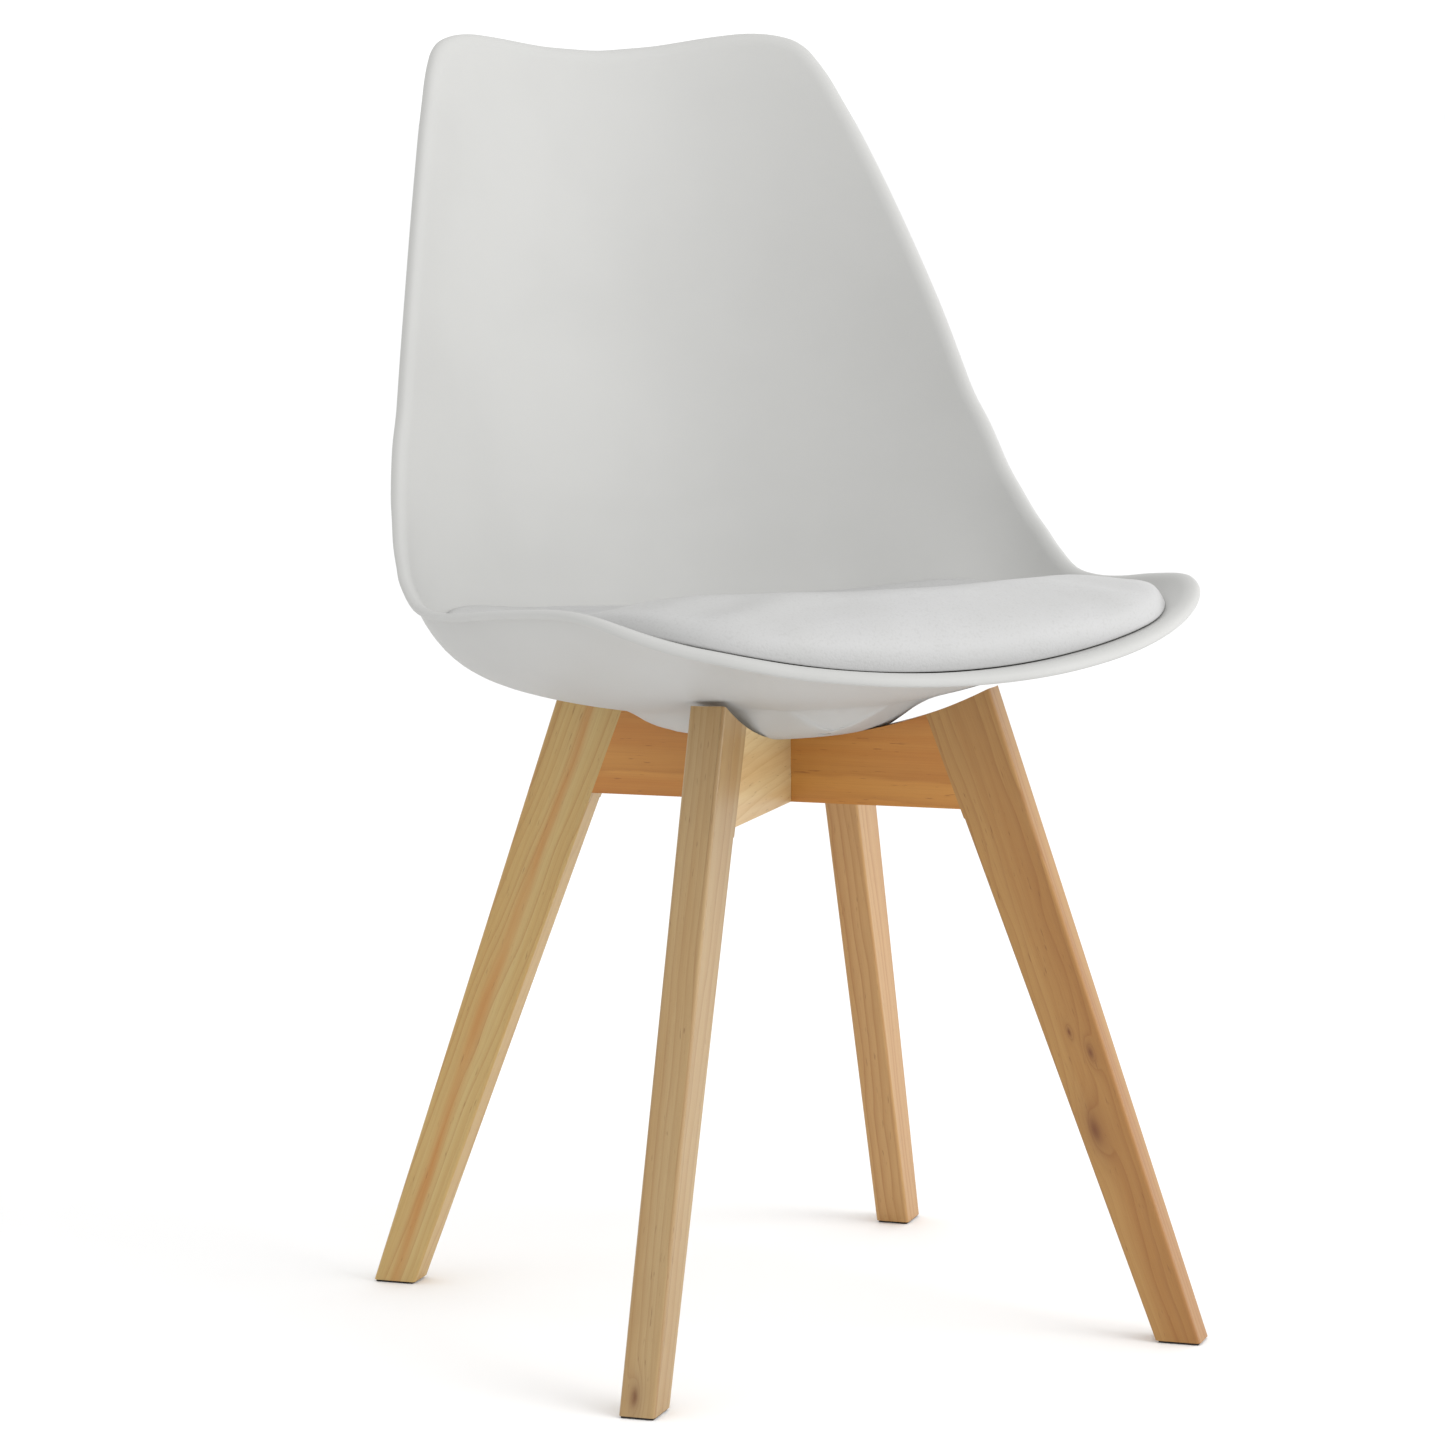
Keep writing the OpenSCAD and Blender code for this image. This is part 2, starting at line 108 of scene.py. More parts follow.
def curve(p, u, slope=False):
    """A smooth curve through the stations p at the places u, or its slope. Past its ends it is straight."""
    u = np.asarray(u, float)
    e = np.vstack([2 * p[0] - p[1], p, 2 * p[-1] - p[-2]])
    i = np.clip(np.floor(u).astype(int), 0, len(p) - 2)
    t = np.clip(u - i, 0, 1)
    over = (u - i - t)[..., None]
    t = t[..., None]
    a, b, c, d = e[i], e[i + 1], e[i + 2], e[i + 3]
    rate = 0.5 * ((c - a) + 2 * (2 * a - 5 * b + 4 * c - d) * t + 3 * (3 * b - a - 3 * c + d) * t * t)
    if slope:
        return rate
    return between(a, b, c, d, t) + over * rate


def unit(v):
    return v / np.linalg.norm(v, axis=-1, keepdims=True)


def smooth(t):
    c = np.clip(t, 0, 1)
    return c * c * (3 - 2 * c)


def surface(x, u):
    """Upper face of the shell at side place x and place u along the middle."""
    x, u = np.broadcast_arrays(np.asarray(x, float), np.asarray(u, float))
    s, d = curve(SPINE, u), curve(SPINE, u, True)
    q = np.hypot(d[..., 0], d[..., 1])
    t = np.abs(x) / HALF_W
    r = s[..., 2] * t * t + s[..., 3] * t ** CURL_POWER
    return np.stack([x, s[..., 0] - d[..., 1] / q * r, s[..., 1] + d[..., 0] / q * r], -1)


def normal(x, u):
    a = surface(x + 1, u) - surface(x - 1, u)
    b = surface(x, u + 0.02) - surface(x, u - 0.02)
    return unit(np.cross(a, b))


def form(x, u, h=0.0):
    """The same face raised by h along its normal."""
    return surface(x, u) + np.asarray(h, float)[..., None] * normal(x, u)


def finer(line, n):
    """An open line with n points to each span, on a smooth curve through the old ones."""
    return curve(line, np.arange((len(line) - 1) * n + 1) / n)


def loop(h):
    """The whole outline from one half of it."""
    back = h[-2:0:-1].copy()
    back[:, 0] *= -1
    return np.vstack([h, back])


def middle(o, lo, hi):
    """Where on the middle line the rib to each outline point starts, between lo and hi."""
    m = len(o)
    i = np.arange(m)
    j = np.where(i <= m // 2, i, m - i)
    return 0.8 * np.clip(o[:, 1], lo, hi) + 0.2 * (hi + (lo - hi) * j / (m // 2))


def rib(o, lo, hi, k):
    """The ring at share k of the way from the middle line to the outline."""
    m = middle(o, lo, hi)
    return o[:, 0] * k, m + (o[:, 1] - m) * k


def rounder(ring, n):
    """A closed ring with n points to each span, on a smooth curve through the old ones."""
    a, b, c, d = np.roll(ring, 1, 0), ring, np.roll(ring, -1, 0), np.roll(ring, -2, 0)
    return np.stack([between(a, b, c, d, i / n) for i in range(n)], 1).reshape(-1, 3)


def eased(ring, o, share):
    """The ring with the sharp turn of its waist, where the seat's side becomes the back's, drawn out.
    Known fault: it also moves the wall by the cushion's rear corners, and the cushion's edge comes through."""
    waist, full, fade, passes = 7.3, 0.9, 1.0, 4
    soft = ring
    for _ in range(passes):
        soft = 0.25 * np.roll(soft, 1, 0) + 0.5 * soft + 0.25 * np.roll(soft, -1, 0)
    w = share * (1 - smooth((np.abs(o[:, 1] - waist) - full) / fade))
    return ring + w[:, None] * (soft - ring)


def skin_mesh(name, first, rings, last):
    """A closed mesh of quads over rings, closed at both ends on a middle line."""
    m = len(rings[0])
    n = m // 2
    verts = np.vstack([first, *rings, last])
    verts = (verts + [0, SHIFT_Y, 0]) * MM
    base, tail = n + 1, n + 1 + len(rings) * m
    fold = [i if i <= n else m - i for i in range(m)] + [0]
    faces = []
    for i in range(m):
        j = (i + 1) % m
        a, b = fold[i], fold[i + 1]
        faces.append((a, base + i, base + j, b))
        c = base + (len(rings) - 1) * m
        faces.append((c + i, tail + a, tail + b, c + j))
        for q in range(len(rings) - 1):
            o = base + q * m
            faces.append((o + i, o + m + i, o + m + j, o + j))
    me = bpy.data.meshes.new(name)
    me.from_pydata(verts.tolist(), [], faces)
    bm = bmesh.new()
    bm.from_mesh(me)
    bmesh.ops.remove_doubles(bm, verts=bm.verts, dist=1e-6)
    bmesh.ops.recalc_face_normals(bm, faces=bm.faces)
    bm.to_mesh(me)
    bm.free()
    me.update()
    return me


def add_object(name, me):
    o = bpy.data.objects.new(name, me)
    scene.collection.objects.link(o)
    return o


def sharpen(me, degrees):
    """Smooth shading with hard edges only where faces meet at more than this angle."""
    bm = bmesh.new()
    bm.from_mesh(me)
    limit = math.radians(degrees)
    for f in bm.faces:
        f.smooth = True
    for e in bm.edges:
        e.smooth = not (len(e.link_faces) == 2 and e.calc_face_angle(0) > limit)
    bm.to_mesh(me)
    bm.free()
    me.update()


def baked(o):
    """The object's mesh with its modifiers applied."""
    dg = bpy.context.evaluated_depsgraph_get()
    me = bpy.data.meshes.new_from_object(o.evaluated_get(dg))
    o.modifiers.clear()
    old = o.data
    o.data = me
    bpy.data.meshes.remove(old)
    return me


# ---------------------------------------------------------------- nodes for materials
class Graph:
    """A short way to write a material's nodes."""

    def __init__(self, name):
        self.mat = bpy.data.materials.new(name)
        self.mat.use_nodes = True
        self.tree = self.mat.node_tree
        self.tree.nodes.clear()
        self.out = self.tree.nodes.new("ShaderNodeOutputMaterial")
        self.shader = self.tree.nodes.new("ShaderNodeBsdfPrincipled")
        self.tree.links.new(self.shader.outputs[0], self.out.inputs[0])
        self.coord = self.tree.nodes.new("ShaderNodeTexCoord").outputs["Object"]

    def put(self, socket, value):
        if isinstance(value, bpy.types.NodeSocket):
            self.tree.links.new(value, socket)
        else:
            socket.default_value = value

    def set(self, **values):
        for k, v in values.items():
            self.put(self.shader.inputs[k.replace("_", " ")], v)

    def math(self, op, a, b=0.0, c=0.0, clamp=False):
        n = self.tree.nodes.new("ShaderNodeMath")
        n.operation = op
        n.use_clamp = clamp
        for s, v in zip(n.inputs, (a, b, c)):
            self.put(s, v)
        return n.outputs[0]

    def vec(self, op, a, b=(0, 0, 0), scale=None):
        n = self.tree.nodes.new("ShaderNodeVectorMath")
        n.operation = op
        self.put(n.inputs[0], a)
        if op not in ("LENGTH", "SCALE"):
            self.put(n.inputs[1], b)
        if scale is not None:
            self.put(n.inputs["Scale"], scale)
        return n.outputs["Value" if op in ("DOT_PRODUCT", "LENGTH") else "Vector"]

    def xyz(self, x=0.0, y=0.0, z=0.0):
        n = self.tree.nodes.new("ShaderNodeCombineXYZ")
        for s, v in zip(n.inputs, (x, y, z)):
            self.put(s, v)
        return n.outputs[0]

    def split(self, v):
        n = self.tree.nodes.new("ShaderNodeSeparateXYZ")
        self.put(n.inputs[0], v)
        return n.outputs[0], n.outputs[1], n.outputs[2]

    def noise(self, where, scale, detail, rough, colour=False):
        n = self.tree.nodes.new("ShaderNodeTexNoise")
        self.put(n.inputs["Vector"], where)
        n.inputs["Scale"].default_value = scale
        n.inputs["Detail"].default_value = detail
        n.inputs["Roughness"].default_value = rough
        return n.outputs["Color"] if colour else n.outputs[0]

    def cells(self, where, scale):
        n = self.tree.nodes.new("ShaderNodeTexVoronoi")
        self.put(n.inputs["Vector"], where)
        n.inputs["Scale"].default_value = scale
        return n.outputs["Distance"]

    def ramp(self, value, stops, smooth_steps=False):
        n = self.tree.nodes.new("ShaderNodeValToRGB")
        self.put(n.inputs[0], value)
        r = n.color_ramp
        r.interpolation = "EASE" if smooth_steps else "LINEAR"
        while len(r.elements) > 1:
            r.elements.remove(r.elements[-1])
        for i, (at, c) in enumerate(stops):
            e = r.elements[0] if i == 0 else r.elements.new(at)
            e.position = at
            e.color = (c, c, c, 1) if isinstance(c, (int, float)) else (*c, 1)
        return n.outputs[0]

    def mix(self, amount, a, b, blend="MIX"):
        n = self.tree.nodes.new("ShaderNodeMix")
        n.data_type = "RGBA"
        n.blend_type = blend
        n.clamp_factor = True
        self.put(n.inputs[0], amount)
        for s, v in ((n.inputs[6], a), (n.inputs[7], b)):
            self.put(s, v if isinstance(v, bpy.types.NodeSocket) else (*v, 1))
        return n.outputs[2]

    def bump(self, *layers):
        """Bumps one over another: each is (height, distance in metres, strength)."""
        last = None
        for height, distance, strength in layers:
            n = self.tree.nodes.new("ShaderNodeBump")
            self.put(n.inputs["Height"], height)
            n.inputs["Distance"].default_value = distance
            n.inputs["Strength"].default_value = strength
            if last is not None:
                self.tree.links.new(last, n.inputs["Normal"])
            last = n.outputs[0]
        self.tree.links.new(last, self.shader.inputs["Normal"])


def rgb(r, g, b):
    """A screen colour as the linear values that shaders take."""
    return tuple((c / 255 / 12.92) if c <= 10 else ((c / 255 + 0.055) / 1.055) ** 2.4 for c in (r, g, b))


def plastic():
    """Injection-moulded polypropylene: satin, nearly even, with a very fine moulded texture."""
    g = Graph("moulded_shell")
    tone = g.noise(g.coord, 6, 3, 0.55)
    speck = g.noise(g.coord, 900, 2, 0.6)
    colour = g.mix(g.ramp(tone, [(0.3, 0), (0.7, 1)], True), rgb(178, 178, 176), rgb(182, 182, 180))
    colour = g.mix(g.math("MULTIPLY", speck, 0.05), colour, rgb(164, 163, 159))
    rough = g.math("ADD", g.math("MULTIPLY", g.noise(g.coord, 35, 4, 0.6), 0.10), 0.50)
    g.set(Base_Color=colour, Roughness=rough)
    g.shader.inputs["IOR"].default_value = 1.49
    g.shader.inputs["Specular IOR Level"].default_value = 0.30
    g.bump((g.noise(g.coord, 55, 2, 0.5), 0.0004, 0.12), (g.cells(g.coord, 1500), 0.00005, 0.30))
    return g.mat


def leather():
    """Soft polyurethane leather: fine pebbled grain with painted shade in its valleys, slight tone changes,
    soft gloss.
    """
    g = Graph("cushion_leather")
    tone = g.noise(g.coord, 9, 4, 0.6)
    shove = g.vec("SCALE", g.noise(g.coord, 300, 2, 0.5, colour=True), scale=0.0012)
    pore = g.cells(g.vec("ADD", g.coord, shove), 720)
    fine = g.noise(g.coord, 2600, 2, 0.6)
    colour = g.mix(g.ramp(tone, [(0.3, 0), (0.72, 1)], True), rgb(174, 174, 173), rgb(178, 178, 178))
    # painted shade: the sunken valleys between the grain's pebbles are darkened in the colour, as shade would
    # fall in them
    painted_valley_shade = g.ramp(pore, [(0.0, 0.0), (0.55, 0.0), (0.9, 1.0)])
    colour = g.mix(g.math("MULTIPLY", painted_valley_shade, 0.22), colour, rgb(152, 151, 149))
    rough = g.math("ADD", g.math("MULTIPLY", g.noise(g.coord, 60, 3, 0.6), 0.12), 0.40)
    g.set(Base_Color=colour, Roughness=rough)
    g.shader.inputs["Specular IOR Level"].default_value = 0.42
    sunk = g.math("MULTIPLY", pore, -1.0)
    g.bump((g.noise(g.coord, 16, 3, 0.55), 0.002, 0.05), (sunk, 0.00012, 0.55), (fine, 0.00003, 0.3))
    return g.mat


def bell(g, d, steep):
    """1 where d is 0, falling off as a bell curve."""
    return g.math("POWER", math.e, g.math("MULTIPLY", g.math("MULTIPLY", d, d), -steep))


def wood(name, origin, along, across, seed, pale, mid, deep, centre, spacing=0.0042, contrast=1.0,
         knots=(), streak=0.0, tint=(1, 1, 1), heart=None, wander=0.030):
    """Clear-lacquered pine. Growth rings are cylinders round a centre line outside the stick, so every face
    of it shows the same rings: straight lines where they are cut square, arches where they are cut flat."""
    g = Graph(name)
    along, across = Vector(along).normalized(), Vector(across).normalized()
    through = along.cross(across).normalized()
    p = g.vec("SUBTRACT", g.coord, tuple(origin))
    x, y, z = (g.vec("DOT_PRODUCT", p, tuple(axis)) for axis in (along, across, through))

    def drawn(lengthwise, crosswise, offset=0.0, depthwise=None):
        """Texture space drawn out along the stick."""
        return g.xyz(g.math("MULTIPLY_ADD", x, lengthwise, seed + offset), g.math("MULTIPLY", y, crosswise),
                     g.math("MULTIPLY", z, crosswise if depthwise is None else depthwise))

    # slow wander of the rings along the stick
    drift = g.noise(drawn(3.2, 13), 1, 3, 0.5, colour=True)
    dx, dy, dz = g.split(g.vec("SUBTRACT", drift, (0.5, 0.5, 0.5)))
    ry = g.math("ADD", g.math("SUBTRACT", y, centre[0]), g.math("MULTIPLY", dy, wander))
    rz = g.math("ADD", g.math("SUBTRACT", z, centre[1]), g.math("MULTIPLY", dz, wander))
    ry = g.math("MULTIPLY_ADD", x, centre[2], ry)
    r = g.vec("LENGTH", g.xyz(0.0, ry, rz))
    # knots push the rings aside and darken: each is (place along, place across, size, narrow), where narrow is
    # 1 on the stick's narrow outer and inner faces and 0 on its wide faces
    shade = None
    for at_x, at_y, size, narrow in knots:
        kx = g.math("MULTIPLY", g.math("SUBTRACT", x, at_x), 0.36 / size)
        ky = g.math("MULTIPLY", g.math("SUBTRACT", z if narrow else y, at_y), 1.0 / size)
        kx, ky = (g.math("ADD", k, g.math("MULTIPLY", shift, 1.6)) for k, shift in ((kx, dx), (ky, dy)))
        d = g.vec("LENGTH", g.xyz(kx, ky, 0.0))
        near = bell(g, d, 0.5)
        r = g.math("MULTIPLY_ADD", near, 0.010, r)
        spot = g.math("ADD", g.math("MULTIPLY", near, 0.40), g.math("MULTIPLY", bell(g, d, 3.5), 0.60))
        shade = spot if shade is None else g.math("MAXIMUM", shade, spot)
    # growth rings, each with its own strength
    wobble = g.noise(drawn(14, 120, 3.1), 1, 2, 0.5)
    turns = g.math("ADD", g.math("DIVIDE", r, spacing), g.math("MULTIPLY", wobble, 0.55))
    ring, which = g.math("FRACT", turns), g.math("FLOOR", turns)
    vary = g.noise(g.xyz(g.math("MULTIPLY", which, 0.37), seed, 0.0), 3.0, 1, 0.5)
    late = g.ramp(ring, [(0.0, 0.10), (0.06, 0.0), (0.45, 0.10), (0.78, 0.55), (0.93, 1.0), (1.0, 0.12)])
    late = g.math("MULTIPLY", late, g.ramp(vary, [(0.30, 0.22), (0.68, 1.0)], True))
    # broad warm and pale bands that follow the grain
    band = g.noise(drawn(1.6, 44, 7.7), 1, 3, 0.5)
    colour = g.mix(g.ramp(band, [(0.34, 0.0), (0.66, 1.0)], True), pale, mid)
    colour = g.mix(g.math("MULTIPLY", late, 0.62 * contrast), colour, deep)
    if streak:
        line = g.ramp(g.noise(drawn(1.1, 70, 21.0, 16), 1, 2, 0.5), [(0.56, 0.0), (0.68, 1.0)], True)
        colour = g.mix(g.math("MULTIPLY", line, streak), colour, deep)
    if heart:  # a band of darker heartwood with a wandering border: place across, half width, strength, tone
        place, width, amount, tone = heart
        off = g.math("DIVIDE", g.math("SUBTRACT", g.math("MULTIPLY_ADD", dy, 0.026, y), place), width)
        patchy = g.noise(drawn(9, 60, 0.0, 0), 1, 2, 0.5)
        amount = g.math("MULTIPLY", bell(g, off, 1.0), g.math("MULTIPLY", patchy, amount * 1.7))
        colour = g.mix(amount, colour, tone)
    # fibres, and the short dark dashes of resin canals
    fibre = g.noise(drawn(22, 1500), 1, 3, 0.65)
    colour = g.mix(g.ramp(fibre, [(0.30, 0.16), (0.60, 0.0)]), colour, deep)
    dash = g.ramp(g.noise(drawn(95, 820, 1.7), 1, 1, 0.5), [(0.70, 0.0), (0.78, 1.0)])
    colour = g.mix(g.math("MULTIPLY", dash, 0.42), colour, tuple(c * 0.62 for c in deep))
    if shade is not None:
        bark = tuple(c * v for c, v in zip(deep, (0.62, 0.48, 0.42)))
        colour = g.mix(g.math("MULTIPLY", shade, 0.85, clamp=True), colour, bark)
    colour = g.mix(1.0, colour, tuple(tint), "MULTIPLY")
    rough = g.math("MULTIPLY_ADD", fibre, 0.08, g.math("MULTIPLY_ADD", late, 0.10, 0.38))
    g.set(Base_Color=colour, Roughness=rough)
    g.shader.inputs["Specular IOR Level"].default_value = 0.42
    g.shader.inputs["Coat Weight"].default_value = 0.12
    g.shader.inputs["Coat Roughness"].default_value = 0.30
    g.bump((late, 0.00010, 0.5), (fibre, 0.00006, 0.45), (dash, -0.00012, 0.5))
    return g.mat


def metal(name, base, rough):
    """Plated or turned metal with faint tool marks and duller patches."""
    g = Graph(name)
    grime = g.noise(g.coord, 260, 4, 0.6)
    turned = g.noise(g.vec("MULTIPLY", g.coord, (900, 900, 120)), 1, 2, 0.5)
    colour = g.mix(g.ramp(grime, [(0.35, 0), (0.75, 1)]), base, tuple(c * 0.72 for c in base))
    g.set(Base_Color=colour, Roughness=g.math("MULTIPLY_ADD", grime, 0.22, rough))
    g.shader.inputs["Metallic"].default_value = 1.0
    g.bump((turned, 0.00004, 0.5))
    return g.mat


def dull(name, base, speck, rough, scale):
    """A plain matt stuff with a fine speckle: felt or fibreboard."""
    g = Graph(name)
    n = g.noise(g.coord, scale, 3, 0.6)
    colour = g.mix(g.ramp(n, [(0.35, 0), (0.7, 1)]), base, speck)
    g.set(Base_Color=colour, Roughness=g.math("MULTIPLY_ADD", n, 0.15, rough))
    g.bump((n, 0.0002, 0.4))
    return g.mat


def dress(o, mat):
    if not o.data.materials:
        o.data.materials.append(mat)
    for s in range(len(o.material_slots)):
        o.material_slots[s].material = mat


# ---------------------------------------------------------------- the shell
def seated(p, u):
    """The points p of the shell's lower face, at places u, with the round pad brought down to the cradle."""
    q = np.hypot(p[:, 0], p[:, 1] - CRADLE_Y)
    w = np.where(u > WALL_FROM, 0, 1 - smooth((q - PAD_R) / PAD_BLEND))
    b = SEAT_Z - BEDDING + CRADLE_R - np.sqrt(np.maximum(1, CRADLE_R ** 2 - q * q))
    p[:, 2] = w * np.minimum(p[:, 2], b) + (1 - w) * p[:, 2]
    return p


def floored(p, z):
    """The points p, none of them lower than z."""
    p[:, 2] = np.maximum(p[:, 2], z)
    return p


def make_shell():
    """One closed skin: the upper face from the middle out, the turned lip, and the lower face back in."""
    o = loop(finer(RIM, 2))
    nn, base = normal(o[:, 0], o[:, 1]), surface(o[:, 0], o[:, 1])
    along = np.roll(base, -1, 0) - np.roll(base, 1, 0)
    out = -unit(np.cross(along, nn))

    def lip(a, b):
        return base + a * out + b * nn

    ks = np.concatenate([np.linspace(0.03, 0.92, 44), [0.945, 0.965, 0.98, 0.992, 1.0]])
    ribs = [rib(o, *SHELL_SPAN, k) for k in ks]
    top = [floored(form(x, u), FLOOR_Z) for x, u in ribs]
    low = [seated(form(x, u, -SHELL_T), u) for x, u in ribs]
    face = 0.62 * LIP_DROP
    turn = np.linspace(0.14, math.pi / 2, 9)
    edge = [lip(LIP_REACH * math.sin(a), -face * (1 - math.cos(a))) for a in turn]
    outer_r, inner_r, inner = 2.2, 0.9, 0.56 * LIP_REACH  # roundings of the lip's lower edge
    edge += [lip(LIP_REACH - outer_r * (1 - math.cos(a)), -LIP_DROP + outer_r * (1 - math.sin(a)))
             for a in (0.0, 0.4, 0.8, 1.2, math.pi / 2)]
    edge += [lip(inner + inner_r * (1 - math.sin(a)), -LIP_DROP + inner_r * (1 - math.cos(a)))
             for a in (0.0, 0.5, 1.0, math.pi / 2)]
    edge += [lip(k * LIP_REACH, -SHELL_T - drop) for k, drop in ((0.50, 1.4), (0.36, 0.5), (0.17, 0.1))]
    m = middle(o, *SHELL_SPAN)[: len(o) // 2 + 1]
    first = floored(form(0 * m, m), FLOOR_Z)
    last = seated(form(0 * m, m, -SHELL_T), m)
    share = list(smooth((ks - 0.5) / 0.4))
    share += [1.0] * len(edge) + share[::-1]
    rings = [rounder(eased(r, o, w), 4) for r, w in zip(top + edge + low[::-1], share)]
    return add_object("shell", skin_mesh("shell", finer(first, 4), rings, finer(last, 4)))


def drill(o, holes):
    """Bores round holes into o: each is (x, y, z low, z high, diameter) in mm from the rails' crossing."""
    bm = bmesh.new()
    for x, y, z0, z1, d in holes:
        at = Matrix.Translation((x * MM, (y + SHIFT_Y) * MM, (z0 + z1) / 2 * MM))
        r, tall = d / 2 * MM, (z1 - z0) * MM
        bmesh.ops.create_cone(bm, cap_ends=True, segments=32, radius1=r, radius2=r, depth=tall, matrix=at)
    me = bpy.data.meshes.new("drill")
    bm.to_mesh(me)
    bm.free()
    tool = add_object("drill", me)
    m = o.modifiers.new("cut", "BOOLEAN")
    m.operation = "DIFFERENCE"
    m.solver = "FAST"
    m.object = tool
    baked(o)
    bpy.data.objects.remove(tool)
    bpy.data.meshes.remove(me)


def ring_of_four(r, first, z0, z1, d):
    """Four equal bores at radius r, the first at this angle."""
    angles = [math.radians(first + quarter) for quarter in (0, 90, 180, 270)]
    return [(r * math.cos(a), r * math.sin(a), z0, z1, d) for a in angles]


# Bores in the pad: radius of the four, diameter, and top in mm above the pad's lowest point
BOLT_AT, INSERT_D, INSERT_TOP = 52, 8.6, 16.45
SCREW_AT, HEAD_D, HEAD_TOP = 62, 9.4, 13.5
NECK_D, NECK_FROM = 4.3, 11  # the screws' narrow bores go on from there through the seat
BELOW, ABOVE = 4, 3  # how far the cutters stand out of the shell

shell = make_shell()
bores = ring_of_four(BOLT_AT, 45, SEAT_Z - BELOW, SEAT_Z + INSERT_TOP, INSERT_D)
recesses = ring_of_four(SCREW_AT, 0, SEAT_Z - BELOW, SEAT_Z + HEAD_TOP, HEAD_D)
drill(shell, bores + recesses)
drill(shell, ring_of_four(SCREW_AT, 0, SEAT_Z + NECK_FROM, FLOOR_Z + ABOVE, NECK_D))
sharpen(shell.data, 38)
m = shell.modifiers.new("even", "WEIGHTED_NORMAL")
m.keep_sharp = True
dress(shell, plastic())
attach(shell, "root")
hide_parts("seat_shell")

# ---------------------------------------------------------------- the cushion
WRAP, COVER_T, BOARD_T, CUSHION_H = 1.6, 1.2, 3.0, 54.0
FOAM_H = WRAP + COVER_T + BOARD_T
PUFF_LEAN = 0.4  # share of the crown that rises along the seat's normal; the rest rises straight up
REAR_DROP, DROP_FROM, DROP_OVER = 0.58, 3.9, 3.6  # the crown is lower towards the back
SLACK = 0.93  # the sewn form is this much of the full crown, and the cloth swells the rest


def crown(k, u):
    rear = 1 - REAR_DROP * smooth((u - DROP_FROM) / DROP_OVER)
    return FOAM_H + (CUSHION_H - FOAM_H) * np.sqrt(max(0.0, 1 - k * k)) * rear


def puffed(x, u, k):
    c = (crown(k, u) - FOAM_H) * SLACK
    p = form(x, u, FOAM_H + COVER_T + PUFF_LEAN * c)
    p[:, 2] += (1 - PUFF_LEAN) * c
    return p


def pad_ring(o, k, h, z):
    x, u = rib(o, *CUSHION_SPAN, k)
    return floored(form(x, u, np.full(len(x), h)), z)


def make_cushion(name, n, ks, detailed):
    """The cushion's skin. With detail it turns in under the board and runs on under the foam."""
    o = loop(finer(PAD, n))
    top = [puffed(*rib(o, *CUSHION_SPAN, k * 1.004), k) for k in ks]
    m = middle(o, *CUSHION_SPAN)[: len(o) // 2 + 1]
    first = puffed(0 * m, m, 0.0)
    side = [pad_ring(o, 1.007, h, FLOOR_Z) for h in (FOAM_H + 1.4, FOAM_H - 0.6, FOAM_H - 2.4, 1.6)]
    under = [pad_ring(o, 1.004, 0.9, FLOOR_Z - 0.8)]
    turned_in = ((0.995, 0.6), (0.97, 1.2), (0.94, WRAP), (0.9, WRAP))
    under += [pad_ring(o, k, h, FLOOR_Z - 1) for k, h in turned_in]
    if detailed:
        end, end_z = FOAM_H + 0.02, FLOOR_Z + BOARD_T + 0.02
        under += [pad_ring(o, k, WRAP + COVER_T, FLOOR_Z) for k in (0.9, 0.94, 0.985)]
        under += [pad_ring(o, k, end, end_z) for k in (0.985, 0.9, 0.7, 0.5, 0.3, 0.15)]
    else:
        end, end_z = WRAP, FLOOR_Z - 1
        under += [pad_ring(o, k, end, end_z) for k in (0.75, 0.55, 0.35, 0.18)]
    last = floored(form(0 * m, m, end), end_z)
    return add_object(name, skin_mesh(name, first, top + side + under, last))


def coords(me):
    a = np.empty(len(me.vertices) * 3)
    me.vertices.foreach_get("co", a)
    return a.reshape(-1, 3)


def inflate(bag, gap):
    """Blows the bag up with cloth, held where it is near the shell, and returns how far each point moved."""
    held, free, most, last_frame = 0.009, 0.016, 0.006, 20
    still = coords(bag.data)
    hold = bag.vertex_groups.new(name="hold")
    for i, g in enumerate(gap):
        if g < free:
            hold.add([i], float(min(1, 1 - (g - held) / (free - held))), "REPLACE")
    cloth = bag.modifiers.new("cloth", "CLOTH")
    cloth.settings.quality = 6
    cloth.settings.mass = 0.4
    cloth.settings.tension_stiffness = 18
    cloth.settings.compression_stiffness = 18
    cloth.settings.bending_stiffness = 1.2
    cloth.settings.use_pressure = True
    cloth.settings.uniform_pressure_force = 4
    cloth.settings.vertex_group_mass = "hold"
    cloth.settings.effector_weights.gravity = 0
    cloth.collision_settings.use_collision = False
    scene.frame_start, scene.frame_end = 1, last_frame
    for f in range(1, last_frame + 1):
        scene.frame_set(f)
    baked(bag)
    scene.frame_set(1)
    moved = coords(bag.data) - still
    far = np.linalg.norm(moved, axis=1)
    return moved * np.minimum(1, most / np.maximum(far, 1e-9))[:, None]


